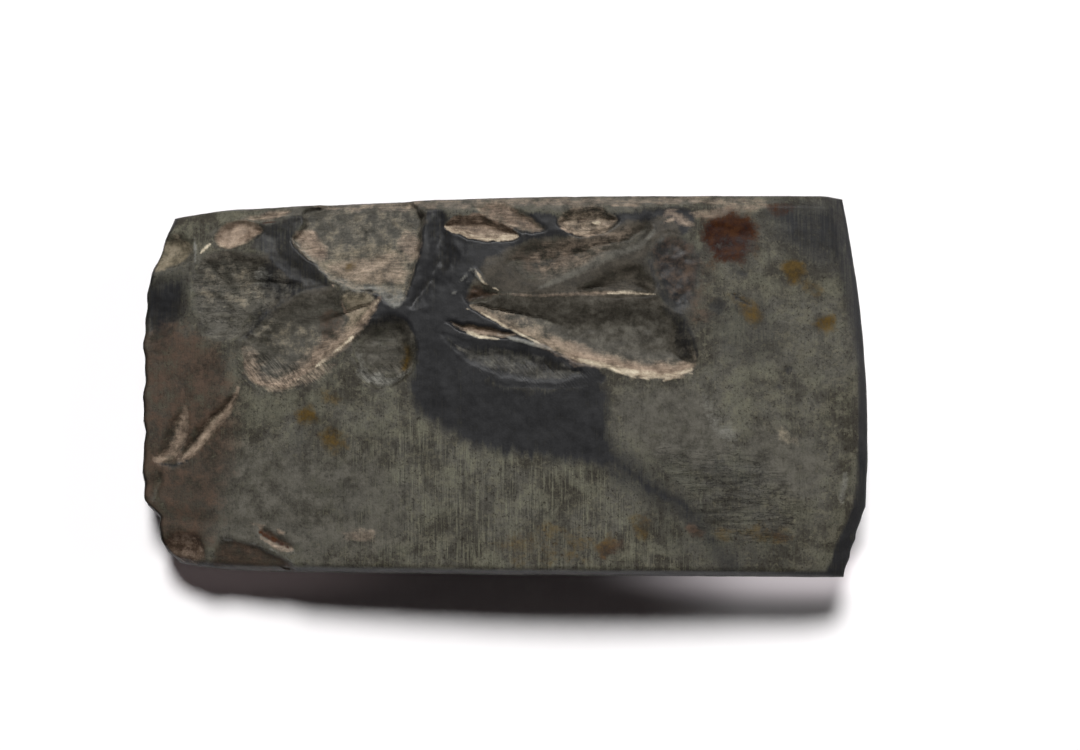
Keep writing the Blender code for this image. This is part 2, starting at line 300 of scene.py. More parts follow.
def depth_inside(x, y, points):
    """Distance inside an outline (negative outside), and how far its nearest side faces +Y."""
    best = np.full(x.shape, 1e9)
    facing = np.zeros(x.shape)
    inside = np.zeros(x.shape, bool)
    for start, end in zip(points, np.roll(points, -1, axis=0)):
        distance, away_y, _ = distance_to_segment(x, y, start, end)
        nearer = distance < best
        best = np.where(nearer, distance, best)
        facing = np.where(nearer, -away_y / np.maximum(distance, 1e-6), facing)
        rise = end[1] - start[1]
        crosses = (start[1] > y) != (end[1] > y)
        meet = start[0] + (y - start[1]) * (end[0] - start[0]) / (rise if abs(rise) > 1e-9 else 1e-9)
        inside ^= crosses & (x < meet)
    facing = np.where(inside, facing, -facing)
    return np.where(inside, best, -best), facing


class Scar:
    """One flake scar: outline in photo pixels, depth and wall widths in millimetres.

    walls are the widths of the wall at the +Y and the -Y side. The three tint tables name how
    much of each tint the floor, the -Y wall and the +Y wall take; the -Y wall faces the light, and
    its tints are painted highlight over its fresh tan fracture, while the +Y wall faces away, and its
    tints are painted shade. lean is how much the floor drops towards +X and +Y per millimetre,
    ragged how far rays of stone break the outline, and soft how wide the change of tint at the
    outline is.
    """

    def __init__(self, outline, depth, walls, floor=None, fresh_and_lit_wall=None, shaded_wall=None, lean=(0.0, 0.0),
                 ragged=0.0, soft=0.9):
        self.points = rounded(outline)
        self.depth = depth
        self.walls = walls
        self.lean = lean
        self.tints = (floor or {}, fresh_and_lit_wall or {}, shaded_wall or {})
        self.ragged = ragged
        self.soft = soft
        self.middle = self.points.mean(axis=0)

    def cut(self, x, y):
        """Depth cut at each place, the shares of the lit wall and of the shaded wall, which take painted
        highlight and painted shade, and the scar's own mask.
        """
        inside, facing = depth_inside(x, y, self.points)
        if self.ragged:
            angle = np.arctan2(y - self.middle[1], x - self.middle[0])
            inside = inside + self.ragged * value_noise(angle * 18.0, 0.2 * x, 1.0, 91)
        wall = np.minimum(mix(self.walls[1], self.walls[0], 0.5 + 0.5 * facing), inside.max())
        climb = np.clip(1.0 - inside / wall, 0.0, 1.0)
        floor = self.depth + self.lean[0] * (x - self.middle[0]) + self.lean[1] * (y - self.middle[1])
        north = np.clip(0.3 + facing + (self.soft > 1.5), 0.0, 1.0)
        depth = np.maximum(floor, 0.12 * self.depth) * mix(1.0 - climb ** 2, smooth(1.0 - climb), north)
        # Painted highlight on the -Y wall, which faces the light, over its fresh tan fracture; painted
        # shade on the +Y wall, which faces away.
        fresh_and_lit_wall = climb ** 2.2 * np.clip(0.4 - facing, 0.0, 1.0)
        shaded_wall = climb ** 1.4 * np.clip(0.2 + facing, 0.0, 1.0)
        return np.where(inside > 0.0, depth, 0.0), fresh_and_lit_wall, shaded_wall, smooth(inside / self.soft)

    def tint(self, name, fresh_and_lit_wall, shaded_wall):
        # Mixes the floor's tints towards the painted highlight of the lit wall and the painted shade of
        # the shaded wall.
        floor_amount, fresh_and_lit_amount, shaded_wall_amount = (amounts.get(name, 0.0) for amounts in self.tints)
        return floor_amount + (fresh_and_lit_amount - floor_amount) * fresh_and_lit_wall + (shaded_wall_amount - floor_amount) * shaded_wall


class Stroke:
    """A line of tint and relief along a few points: crumbled rims, cracks, streaks and ridges, also
    painted highlights along lit rims and ridges and painted shade along an edge.
    """

    def __init__(self, tint, amount, width, points, relief=0.0, broken=0.0):
        self.tint = tint
        self.amount = amount
        self.width = width
        self.points = np.array([spot(*point) for point in points])
        self.relief = relief
        self.broken = broken

    def weight(self, x, y):
        """How much of the stroke lies at each place; it thins out to both ends."""
        total = np.zeros(x.shape)
        count = len(self.points) - 1
        for number in range(count):
            distance, _, share = distance_to_segment(x, y, self.points[number], self.points[number + 1])
            travel = (number + share) / count
            width = self.width * (0.35 + 0.65 * np.sin(math.pi * np.clip(travel, 0.02, 0.98)))
            total = np.maximum(total, smooth(1.15 - distance / width))
        if self.broken:
            total = total * smooth(0.5 + 1.2 * value_noise(x, y, 1.3, 95) + 0.9 * (0.5 - self.broken))
        return total


class Patch:
    """A soft-edged area of one tint; comb is how far its border is drawn out along Y."""

    def __init__(self, tint, amount, soft, outline, comb=0.3):
        self.comb = comb
        self.tint = tint
        self.amount = amount
        self.soft = soft
        self.points = rounded(outline)

    def weight(self, x, y):
        inside, _ = depth_inside(x, y, self.points)
        return smooth(0.5 + inside / self.soft)


def ellipse(column, row, wide, high, turn=0.0):
    """Eight points that round to an ellipse, in photo pixels; wide and high are its half sizes."""
    angle = math.radians(-turn)
    points = []
    for step in range(8):
        reach = 2.0 * math.pi * step / 8
        along, across = 1.1 * wide * math.cos(reach), 1.1 * high * math.sin(reach)
        points.append((column + along * math.cos(angle) - across * math.sin(angle),
                       row + along * math.sin(angle) + across * math.cos(angle)))
    return points


# In each scar the second tint table is painted highlight on the -Y wall, which faces the light, over its
# fresh tan fracture, and the third is painted shade on the +Y wall.
BUTT_SCARS = [
    Scar([(144, 268), (156, 242), (172, 230), (190, 234), (194, 250), (187, 263), (172, 271),
         (150, 276)], 1.6, (3.0, 2.6), {"olive": 0.8}, {"olive": 1.0}, {"umber": 0.7}),
    Scar([(136, 276), (152, 275), (180, 270), (195, 268), (196, 300), (188, 330), (160, 345),
         (132, 345)], 0.9, (2.0, 3.0), {"dark": 0.9}, {"dark": 0.6}, {"dark": 0.9}, lean=(-0.10, -0.10),
         soft=5.0),
    Scar([(194, 256), (215, 246), (262, 246), (286, 258), (306, 288), (282, 302), (262, 322), (244, 345),
         (204, 340), (192, 300)], 1.9, (7.0, 6.0), {"grey": 0.72, "umber": 0.5, "fibre": 1.0},
         {"grey": 0.9, "fibre": 1.0}, {"umber": 1.0, "fibre": 0.6}),
    Scar([(208, 242), (214, 224), (230, 215), (258, 219), (266, 232), (244, 243), (226, 251)], 1.2,
         (2.0, 1.6), {"bone": 0.85, "crushed": 0.5}, {"bone": 1.0, "cream": 0.4}, {"bone": 0.5},
         lean=(0.0, 0.2)),
    Scar([(232, 216), (250, 208), (292, 204), (292, 213), (270, 221), (250, 221)], 0.9, (1.2, 1.0),
         {"bone": 0.6, "crushed": 0.5, "fibre": 1.0}, {"cream": 0.6, "fibre": 1.0}, lean=(0.0, 0.15)),
    Scar([(258, 222), (290, 210), (314, 212), (298, 232), (294, 242), (310, 258), (345, 286), (318, 296),
         (284, 296), (266, 272), (256, 244)], 0.45, (6.0, 6.0), {"dark": 0.72}, {"dark": 0.66},
         {"dark": 0.72}, lean=(0.01, 0.0), soft=2.5),
    Scar([(188, 402), (193, 425), (186, 448), (173, 462), (157, 463), (161, 440), (172, 418)], 1.4,
         (4.0, 1.2), {"brown": 0.6, "olive": 0.3}, {"bone": 1.0}, {"brown": 0.9}),
    Scar([(241, 387), (238, 408), (214, 433), (196, 456), (176, 463), (184, 440), (210, 414)], 1.4,
         (3.2, 1.1), {"brown": 0.5, "olive": 0.3}, {"bone": 1.0}, {"brown": 0.9}),
    Scar([(164, 466), (164, 486), (157, 505), (150, 500), (155, 482)], 0.6, (1.4, 0.6), {"brown": 0.3},
         {"bone": 0.6}),
    Scar([(158, 532), (188, 530), (206, 540), (206, 562), (180, 572), (152, 562)], 1.2, (2.2, 2.2),
         {"brown": 0.95, "bone": 0.16}, {"olive": 0.6, "brown": 0.6}, {"brown": 1.0}),
    Scar([(210, 537), (252, 542), (284, 555), (306, 574), (240, 582), (206, 574)], 1.3, (0.9, 3.0),
         {"umber": 0.7, "brown": 0.55, "fibre": 0.5}, {"brown": 0.7}, {"dark": 0.5}, lean=(0.0, -0.12)),
    Scar([(253, 524), (268, 526), (294, 542), (297, 549), (284, 549), (264, 538)], 0.6, (0.8, 1.2),
         {"brown": 0.8}, {"bone": 0.8}),
]

# Second and third tint tables: painted highlight on the lit -Y wall and painted shade on the +Y wall.
MIDDLE_SCARS = [
    Scar([(289, 236), (300, 231), (304, 218), (300, 204), (350, 196), (426, 196), (422, 245), (413, 284),
         (404, 306), (386, 304), (380, 292), (345, 285), (328, 277), (306, 258)], 1.3, (1.2, 0.7),
         {"grey": 0.8, "umber": 0.5, "olive": 0.25, "fibre": 0.55, "crushed": 0.3}, {"bone": 0.8,
         "pale": 0.6}, lean=(0.02, 0.13), soft=0.4),
    Scar([(336, 284), (384, 292), (366, 326), (345, 346), (320, 366), (298, 382), (280, 392), (250, 386),
         (236, 364), (240, 336), (262, 308), (294, 290)], 2.5, (9.0, 4.6), {"grey": 0.98, "fibre": 0.4},
         {"bone": 1.1, "grey": 0.5, "fibre": 0.5}, {"umber": 0.9, "fibre": 0.4}, lean=(0.02, -0.06),
         ragged=0.12),
    Scar([(350, 345), (356, 322), (374, 311), (400, 312), (413, 328), (417, 350), (413, 374), (395, 388),
         (372, 386), (356, 370)], 2.8, (4.2, 3.0), {"grey": 0.5, "umber": 0.55, "fibre": 0.5},
         {"pale": 0.5, "grey": 1.0, "fibre": 0.8}, {"dark": 0.85, "umber": 0.5}, lean=(0.02, -0.08)),
    Scar([(425, 196), (452, 206), (470, 240), (462, 270), (440, 300), (414, 312), (404, 306), (414, 282),
         (421, 245)], 0.7, (6.0, 6.0), {"dark": 0.86}, {"dark": 0.84}, {"dark": 0.86},
         lean=(-0.03, -0.02), soft=2.0),
    Scar([(440, 228), (448, 215), (468, 210), (490, 212), (508, 224), (526, 238), (498, 243), (474, 238),
         (456, 232)], 1.7, (2.0, 3.2), {"brown": 0.7, "bone": 0.42, "fibre": 0.5}, {"bone": 1.3,
         "cream": 0.8}, {"umber": 0.6, "brown": 0.9, "fibre": 0.5}, lean=(0.0, -0.04), soft=0.5),
    Scar([(468, 202), (502, 200), (522, 210), (537, 222), (550, 229), (526, 236), (504, 228),
         (484, 217)], 0.9, (1.2, 1.2), {"bone": 0.34, "brown": 0.7, "fibre": 0.6}, {"bone": 1.0,
         "cream": 0.3, "fibre": 0.8}, {"umber": 0.8}, lean=(0.0, 0.08)),
    Scar([(552, 222), (562, 207), (576, 202), (604, 202), (622, 214), (620, 224), (604, 234), (586, 237),
         (568, 231)], 1.4, (2.6, 1.6), {"bone": 0.38, "olive": 0.4, "umber": 0.6, "fibre": 0.7},
         {"bone": 1.0, "cream": 0.3, "fibre": 0.8}, {"umber": 0.9, "fibre": 1.0}),
    Scar([(494, 260), (512, 240), (552, 228), (592, 236), (622, 229), (652, 210), (660, 224), (642, 246),
         (604, 256), (574, 270), (556, 286), (532, 288), (512, 276)], 1.7, (5.0, 4.4), {"grey": 0.4,
         "umber": 0.7, "brown": 0.4, "fibre": 0.7}, {"grey": 0.95, "olive": 0.2, "fibre": 0.5},
         {"umber": 0.9, "dark": 0.3}, lean=(0.0, 0.03), soft=2.2),
    Scar([(566, 293), (600, 270), (620, 258), (642, 257), (652, 272), (658, 294), (636, 296),
         (604, 295)], 1.3, (5.0, 2.2), {"umber": 0.95, "fibre": 0.6}, {"bone": 0.34, "umber": 0.8},
         {"umber": 0.9, "dark": 0.45}, lean=(0.0, -0.08), soft=1.4),
]

CRUMBLED_PATCH = [(645, 250), (660, 232), (690, 234), (702, 264), (696, 306), (674, 318), (658, 294)]

# Second and third tint tables: painted highlight on the lit -Y wall and painted shade on the +Y wall.
GREAT_SCARS = [
    Scar([(466, 301), (480, 293), (580, 294), (655, 294), (680, 316), (697, 348), (696, 374), (662, 380),
         (630, 377), (606, 364), (584, 363), (548, 347), (508, 328), (480, 313)], 2.7, (5.4, 4.8),
         {"umber": 0.9, "grey": 0.62}, {"olive": 0.7, "bone": 0.6, "grey": 0.9}, {"umber": 0.9,
         "grey": 0.3}, lean=(0.0, -0.10), soft=0.4),
    Scar([(442, 319), (470, 320), (502, 328), (522, 334), (500, 340), (480, 337), (460, 330)], 1.1,
         (1.2, 1.4), {"brown": 0.7, "bone": 0.38}, {"bone": 1.2, "cream": 0.3}, {"brown": 0.8,
         "dark": 0.5}, lean=(0.0, -0.05)),
    Scar([(440, 331), (462, 340), (502, 343), (542, 348), (572, 358), (590, 370), (578, 382), (540, 384),
         (508, 378), (478, 368), (452, 350)], 0.45, (5.0, 3.2), {"dark": 0.72, "grey": 0.3,
         "fibre": 0.5}, {"grey": 0.9, "pale": 0.25, "fibre": 0.7}, {"dark": 0.8}, lean=(0.0, -0.02),
         soft=1.8),
    Scar(CRUMBLED_PATCH, 0.25, (2.6, 2.6), {"dark": 0.9, "umber": 0.45, "brown": 0.45},
         {"dark": 0.8, "umber": 0.4, "brown": 0.4}, soft=1.4),
    # painted shade in the crushed notch's hollow: its brown and dark floor
    Scar([(464, 294), (472, 278), (486, 284), (504, 293), (488, 300), (470, 302)], 1.0, (1.6, 1.4),
         {"brown": 0.9, "dark": 0.5, "crushed": 1.0}, {"umber": 0.8, "crushed": 1.0}),
    Scar(ellipse(728, 236, 27, 20), 0.35, (2.5, 2.5)),
]

GROUND_PATCHES = [Patch(*row) for row in (
    ("dark", 0.98, 3.6, [(415, 300), (445, 330), (455, 352), (500, 384), (545, 392), (605, 372),
        (606, 420), (618, 456), (632, 470), (600, 464), (540, 456), (480, 448), (440, 430), (408, 404)],
        0.7),
    ("dark", 0.62, 4.5, [(600, 430), (650, 468), (694, 500), (724, 534), (750, 574), (726, 578),
        (700, 542), (672, 520), (628, 490), (600, 476)]),
    ("dark", 0.80, 2.4, [(604, 448), (640, 474), (680, 494), (704, 516), (690, 516), (654, 498),
        (620, 478)]),
    ("dark", 0.75, 3.0, [(244, 224), (300, 208), (314, 214), (298, 236), (345, 287), (300, 300),
        (262, 264)]),
    ("grey", 0.70, 3.5, [(612, 392), (690, 386), (718, 420), (740, 452), (700, 470), (650, 462),
        (618, 430)]),
    ("pale", 0.24, 2.5, [(700, 392), (716, 404), (734, 428), (742, 450), (722, 446), (706, 418)]),
    ("grey", 0.60, 4.0, [(740, 425), (800, 430), (835, 460), (810, 500), (750, 480)]),
    ("olive", 0.42, 1.6, [(776, 430), (796, 434), (802, 445), (784, 443)]),
    ("fibre", 0.90, 3.0, [(640, 446), (720, 446), (800, 470), (800, 545), (710, 545), (690, 500)]),
    ("dark", 0.36, 4.0, [(640, 452), (720, 448), (790, 470), (770, 492), (700, 494), (660, 482)]),
    ("dark", 0.36, 4.0, [(700, 300), (760, 290), (790, 330), (780, 370), (720, 360), (704, 330)]),
    ("dark", 0.58, 7.0, [(130, 272), (196, 272), (194, 320), (170, 344), (140, 344)], 1.2),
    ("umber", 1.0, 1.5, [(478, 266), (500, 250), (560, 236), (650, 215), (690, 225), (668, 296),
        (700, 345), (690, 370), (655, 300), (478, 298)]),
    ("dark", 0.98, 1.2, [(342, 286), (385, 292), (404, 300), (412, 280), (424, 196), (470, 240),
        (474, 300), (522, 338), (560, 350), (602, 366), (606, 384), (560, 392), (500, 388), (440, 364),
        (416, 340), (385, 305), (352, 338), (366, 318), (380, 296)]),
    ("dark", 0.95, 1.4, [(425, 210), (560, 214), (640, 210), (700, 206), (690, 240), (650, 236),
        (560, 236), (500, 250), (460, 300), (446, 322), (420, 310)]),
    # painted highlight on the narrow +Y facet along the top edge, which faces the light
    ("grey", 0.8, 1.0, [(196, 236), (262, 205), (430, 196), (560, 198), (700, 196), (700, 205),
        (560, 210), (430, 209), (300, 212), (215, 234)]),
    ("brown", 0.66, 6.0, [(118, 330), (200, 320), (240, 390), (232, 470), (205, 575), (118, 575)]),
    ("brown", 0.4, 3.0, [(655, 246), (690, 238), (715, 262), (716, 320), (690, 330), (660, 290)]),
    ("dark", 0.78, 7.0, [(756, 198), (852, 200), (860, 290), (815, 262), (775, 240)]),
    ("dark", 0.30, 5.0, [(640, 440), (700, 440), (790, 520), (800, 575), (700, 575), (620, 520)]),
    ("grey", 0.60, 8.0, [(150, 440), (400, 450), (420, 560), (160, 560)]),
    ("brushed", 1.0, 8.0, [(330, 400), (640, 400), (740, 520), (740, 580), (300, 580)]),
)]

SPOTS = [Patch(*row) for row in (
    ("dark", 0.8, 3.5, [(258, 246), (292, 258), (310, 288), (282, 306), (256, 330), (240, 346),
        (262, 300)]),
    ("grey", 0.75, 3.0, [(196, 262), (250, 256), (256, 300), (238, 330), (204, 332)]),
    ("bone", 0.24, 2.5, [(530, 246), (600, 234), (642, 224), (600, 255), (558, 276), (530, 264)]),
    ("dark", 0.6, 1.5, [(340, 285), (384, 292), (402, 304), (376, 314), (352, 338), (366, 318)]),
    ("dark", 0.72, 2.4, CRUMBLED_PATCH),
    ("brown", 0.44, 2.0, [(650, 250), (664, 238), (690, 240), (702, 268), (690, 300), (668, 290)]),
    ("rust", 0.94, 4.0, [(698, 226), (714, 212), (744, 213), (760, 228), (752, 256), (730, 268),
        (704, 256)]),
    ("rust", 0.6, 1.6, ellipse(782, 208, 14, 5)),
    ("ochre", 0.55, 2.4, ellipse(640, 528, 8, 14, 20)),
    ("brown", 0.80, 2.0, ellipse(692, 531, 10, 6, -35)),
    ("brown", 0.85, 2.2, ellipse(610, 549, 14, 6, 30)),
    ("ochre", 0.30, 2.4, ellipse(604, 544, 16, 12, 30)),
    ("umber", 0.8, 1.4, ellipse(607, 549, 9, 6, 25)),
    ("umber", 0.7, 1.4, ellipse(642, 524, 6, 12, -15)),
    ("umber", 0.7, 1.2, ellipse(690, 530, 7, 5, -30)),
    ("umber", 0.8, 0.9, ellipse(780, 536, 9, 3, -10)),
    ("ochre", 0.26, 2.5, ellipse(750, 533, 40, 9)),
    ("ochre", 0.38, 1.6, ellipse(772, 538, 20, 5)),
    ("ochre", 0.28, 3.0, ellipse(545, 545, 50, 20)),
    ("brown", 0.8, 1.4, ellipse(780, 537, 10, 3, -8)),
    # painted shade on the bean scar's upper part
    ("dark", 0.30, 2.0, ellipse(384, 335, 20, 14)),
    ("olive", 0.24, 4.0, ellipse(288, 340, 32, 22)),
    ("olive", 0.26, 4.0, ellipse(230, 284, 30, 26)),
    # painted shade along the leaf scar's north-west wall
    ("umber", 0.75, 3.0, [(262, 306), (296, 290), (336, 286), (352, 292), (320, 312), (280, 322)]),
    # painted highlight on the bean scar's lit south rim
    ("pale", 0.50, 1.3, [(354, 370), (380, 388), (408, 382), (406, 372), (380, 378), (362, 364)]),
    ("ochre", 0.85, 1.8, ellipse(308, 416, 11, 9)),
    ("ochre", 0.72, 2.2, ellipse(333, 440, 12, 12)),
    ("ochre", 0.40, 2.0, ellipse(330, 396, 10, 6)),
    ("dark", 0.34, 5.0, ellipse(336, 492, 28, 30)),
    ("dark", 0.36, 2.5, ellipse(300, 440, 8, 14)),
    ("umber", 0.8, 1.2, [(256, 522), (276, 526), (296, 544), (288, 548), (262, 534)]),
    ("bone", 0.55, 1.5, [(690, 214), (720, 205), (765, 202), (772, 207), (740, 212), (712, 218)]),
    ("bone", 0.55, 1.3, [(660, 210), (682, 212), (696, 225), (680, 223)]),
    ("dark", 0.75, 1.8, [(662, 300), (676, 308), (692, 332), (698, 356), (690, 364), (680, 340),
        (666, 318)]),
    ("dark", 0.75, 1.2, ellipse(718, 306, 8, 9)),
    ("dark", 0.65, 0.8, ellipse(744, 275, 5, 4)),
    ("ochre", 0.62, 1.6, [(724, 292), (752, 300), (764, 322), (756, 328), (740, 306)]),
    ("dark", 0.7, 0.9, ellipse(792, 369, 4, 4)),
    ("dark", 0.6, 0.9, ellipse(780, 388, 3, 4)),
    ("ochre", 0.95, 2.0, ellipse(794, 271, 11, 11)),
    ("ochre", 0.5, 1.5, ellipse(812, 288, 9, 5, -35)),
    ("ochre", 0.8, 2.0, ellipse(825, 323, 10, 9)),
    ("ochre", 0.7, 1.4, ellipse(406, 358, 5, 14)),
    ("bone", 0.80, 1.8, [(295, 236), (306, 231), (322, 240), (330, 256), (322, 262), (304, 252)]),
    ("olive", 0.55, 2.4, [(318, 262), (345, 250), (376, 240), (412, 250), (404, 300), (380, 292),
        (345, 286), (326, 274)]),
    ("bone", 0.50, 2.0, [(330, 266), (368, 256), (400, 250), (406, 280), (396, 284), (350, 284),
        (334, 274)]),
    ("umber", 0.85, 2.8, [(300, 204), (426, 196), (420, 232), (380, 228), (340, 222), (306, 222)]),
    ("rays", 1.0, 1.5, [(234, 352), (262, 354), (300, 368), (334, 362), (330, 378), (290, 394),
        (246, 392)]),
    ("bone", 0.36, 1.6, [(240, 368), (262, 374), (290, 380), (330, 364), (338, 368), (300, 390),
        (262, 392)]),
    ("rays", 0.8, 1.5, [(352, 366), (413, 360), (410, 380), (392, 390), (366, 388)]),
    # painted highlight along the great scar's lit south rim, over its fresh tan fracture
    ("bone", 0.85, 1.8, [(556, 348), (600, 352), (640, 366), (692, 362), (694, 374), (662, 380),
        (630, 377), (606, 366), (584, 365), (560, 356)]),
    # painted shade along the bean scar's north wall
    ("dark", 0.8, 1.6, [(350, 312), (376, 306), (400, 310), (408, 324), (384, 322), (360, 330)]),
    ("rays", 0.7, 1.5, [(470, 360), (590, 362), (590, 386), (540, 388), (480, 374)]),
    ("pale", 0.75, 1.2, [(318, 268), (345, 282), (374, 286), (392, 284), (406, 290), (404, 305),
        (386, 304), (376, 293), (345, 287)]),
    ("bone", 0.5, 1.6, ellipse(410, 245, 10, 14)),
    ("ochre", 0.6, 1.0, ellipse(352, 268, 5, 5)),
    ("pale", 0.45, 1.6, ellipse(262, 276, 9, 8)),
    ("olive", 0.75, 1.8, [(338, 290), (380, 294), (366, 322), (346, 344), (324, 360), (342, 338),
        (350, 316)]),
    # painted highlight along the +Y facet at the top edge, which faces the light
    ("bone", 0.34, 1.5, [(300, 202), (560, 197), (770, 196), (770, 202), (560, 205), (300, 209)]),
    ("brown", 0.6, 1.8, [(326, 306), (342, 308), (344, 326), (326, 352), (306, 366), (318, 346)]),
    # painted highlight along the great scar's lit south rim, over its fresh tan fracture
    ("bone", 0.6, 2.0, [(530, 338), (560, 336), (600, 348), (600, 360), (580, 360), (545, 346)]),
    ("dark", 0.7, 2.2, [(674, 322), (688, 330), (696, 350), (690, 366), (672, 356)]),
    ("pale", 0.5, 1.4, ellipse(842, 486, 4, 15)),
    ("bone", 0.52, 2.0, ellipse(360, 535, 14, 5)),
)]

STROKES = [Stroke(*row) for row in (
    # painted highlight along the leaf scar's lit south-east rim, over its fresh tan fracture
    ("bone", 0.62, 1.5, [(380, 298), (364, 320), (346, 340), (322, 358), (298, 374), (276, 384)]),
    # painted highlight along the great scar's lit south rim, over its fresh tan fracture
    ("cream", 0.6, 0.9, [(572, 358), (604, 365), (632, 373), (664, 376), (692, 370)]),
    ("grey", 0.8, 1.3, [(540, 288), (575, 272), (604, 257), (640, 245), (654, 230)]),
    # painted shade along the leaf scar's north-west edge, over a shallow groove
    ("dark", 0.8, 0.5, [(246, 338), (268, 312), (300, 290), (336, 284)], 0.1),
    ("bone", 0.66, 1.0, [(239, 388), (228, 412), (208, 432), (190, 454), (180, 462)]),
    ("bone", 0.60, 1.5, [(186, 408), (182, 432), (172, 452), (158, 460)]),
    ("cream", 0.9, 0.28, [(200, 253), (210, 243)]),
    ("pale", 0.7, 0.35, [(194, 238), (195, 262)]),
    ("bone", 0.9, 0.28, [(333, 285), (341, 300), (347, 318), (341, 336), (326, 352)], -0.05, 0.5),
    ("pale", 0.6, 0.4, [(291, 238), (302, 250), (318, 266), (330, 277), (350, 286), (376, 290)], -0.04),
    # painted highlight along the lit ridge between the scars above the great scar (this stroke and the
    # next)
    ("bone", 0.32, 0.45, [(492, 294), (540, 296), (580, 294), (618, 292), (652, 294)], -0.05),
    ("cream", 0.42, 0.45, [(608, 293), (630, 292), (656, 295)]),
    ("pale", 0.9, 0.6, [(466, 284), (474, 270), (480, 280)], -0.15, 0.7),
    ("cream", 0.95, 0.35, [(470, 281), (475, 269), (484, 283), (502, 292)], -0.15, 0.8),
    ("pale", 0.7, 0.35, [(458, 284), (466, 276), (472, 268)], -0.08, 0.7),
    ("pale", 0.9, 0.3, [(437, 301), (450, 294), (464, 290)], -0.08, 0.6),
    ("cream", 0.8, 0.25, [(454, 306), (461, 308), (469, 309)], -0.05, 0.6),
    # painted highlight along a small scar's lit south rim, over its fresh fracture
    ("cream", 0.8, 0.4, [(446, 321), (462, 330), (480, 337), (498, 339)], -0.05, 0.5),
    # painted highlight along the great scar's lit south and south-west rim, over its fresh tan fracture
    # (these four strokes)
    ("pale", 0.95, 0.5, [(498, 334), (520, 341), (544, 347), (562, 353)], -0.06, 0.5),
    ("cream", 0.95, 0.4, [(576, 361), (592, 363), (606, 364), (618, 372), (636, 378)], -0.08, 0.6),
    ("cream", 0.7, 0.5, [(640, 378), (662, 380), (692, 374)], -0.06, 0.3),
    ("cream", 0.7, 0.35, [(480, 312), (508, 328), (540, 344)], -0.06, 0.4),
    # painted highlight along the leaf scar's lit south-east rim, over its fresh tan fracture
    ("cream", 0.9, 0.35, [(379, 299), (366, 319), (352, 338), (328, 358), (298, 380)], -0.08, 0.5),
    # painted highlight along the lens scar's lit south rim, over its fresh fracture
    ("cream", 0.8, 0.3, [(456, 229), (475, 236), (500, 241)], -0.05, 0.6),
    ("cream", 0.8, 0.45, [(592, 222), (600, 222)], -0.1),
    # painted highlight along the edge scoop's lit south rim, over its fresh fracture
    ("bone", 0.8, 0.3, [(553, 223), (568, 231), (588, 236), (606, 232)], -0.05, 0.5),
    ("bone", 0.8, 0.3, [(562, 212), (574, 218), (590, 219)], -0.05, 0.5),
    ("bone", 0.7, 0.35, [(612, 205), (624, 205), (640, 206)], 0.0, 0.6),
    ("bone", 0.6, 0.5, [(665, 222), (680, 216), (695, 212)], 0.0, 0.4),
    ("bone", 0.6, 0.4, [(700, 216), (720, 209), (745, 208), (762, 206)], 0.0, 0.4),
    ("dark", 0.75, 1.0, [(648, 258), (656, 282), (664, 298), (680, 314), (692, 336), (697, 356)]),
    ("dark", 0.9, 0.3, [(730, 293), (740, 300), (752, 308)], 0.05, 0.4),
    ("dark", 0.9, 0.5, [(160, 463), (174, 466), (190, 460)], 0.1),
    ("bone", 0.6, 0.5, [(252, 524), (272, 527), (290, 538), (298, 548)], -0.04, 0.3),
    ("bone", 0.6, 0.6, [(262, 538), (278, 547), (296, 551)], -0.04, 0.3),
    ("rust", 0.9, 0.45, [(258, 530), (270, 538), (288, 547)], 0.05),
    ("pale", 0.7, 0.25, [(210, 537), (240, 541), (270, 548), (300, 566)], -0.05, 0.5),
    ("rust", 0.7, 0.3, [(245, 221), (260, 223), (276, 221)], 0.06, 0.5),
)]


# Noises that shift the outlines: size and reach in millimetres, and seed
WARPS = ((5.5, 0.5, 11), (1.7, 0.22, 12), (0.8, 0.12, 15))


def warp(x, y):
    """Shifts places a little, so that no outline is a clean curve."""
    shift_x, shift_y = 0.0, 0.0
    for size, reach, seed in WARPS:
        shift_x = shift_x + reach * value_noise(x, y, size, seed)
        shift_y = shift_y + reach * value_noise(x, y, size, seed + 20)
    return x + shift_x, y + shift_y


# Colours in the order in which they cover each other: darkest and lightest tone, noise of the
# border, and its softness
COVERS = {
    "dark": ((40, 40, 41), (49, 49, 50), "vertical", 0.36),
    "umber": ((54, 51, 46), (80, 75, 67), "mottle", 0.35),
    "grey": ((74, 72, 66), (98, 95, 87), "mottle", 0.35),
    "brown": ((48, 38, 31), (86, 72, 62), "mottle", 0.35),
    "pale": ((104, 103, 98), (140, 139, 132), "level", 0.4),
    "olive": ((104, 96, 80), (142, 132, 114), "mottle", 0.3),
    "bone": ((122, 104, 90), (168, 150, 132), "level", 0.45),
    # fresh cream fracture colour brightened into painted highlight; it is laid on walls, rims and crests
    # that face the light
    "cream": ((170, 153, 130), (214, 203, 180), "level", 0.4),
    "rust": ((40, 24, 13), (68, 43, 27), "mottle", 0.3),
    "ochre": ((52, 43, 22), (90, 72, 38), "mottle", 0.4),
}

TINTS = tuple(COVERS) + ("fibre", "rays", "crushed", "brushed")
HIDDEN_TINTS = {"dark": 0.58, "brushed": 0.3}
DARK_CLEARS = 0.75


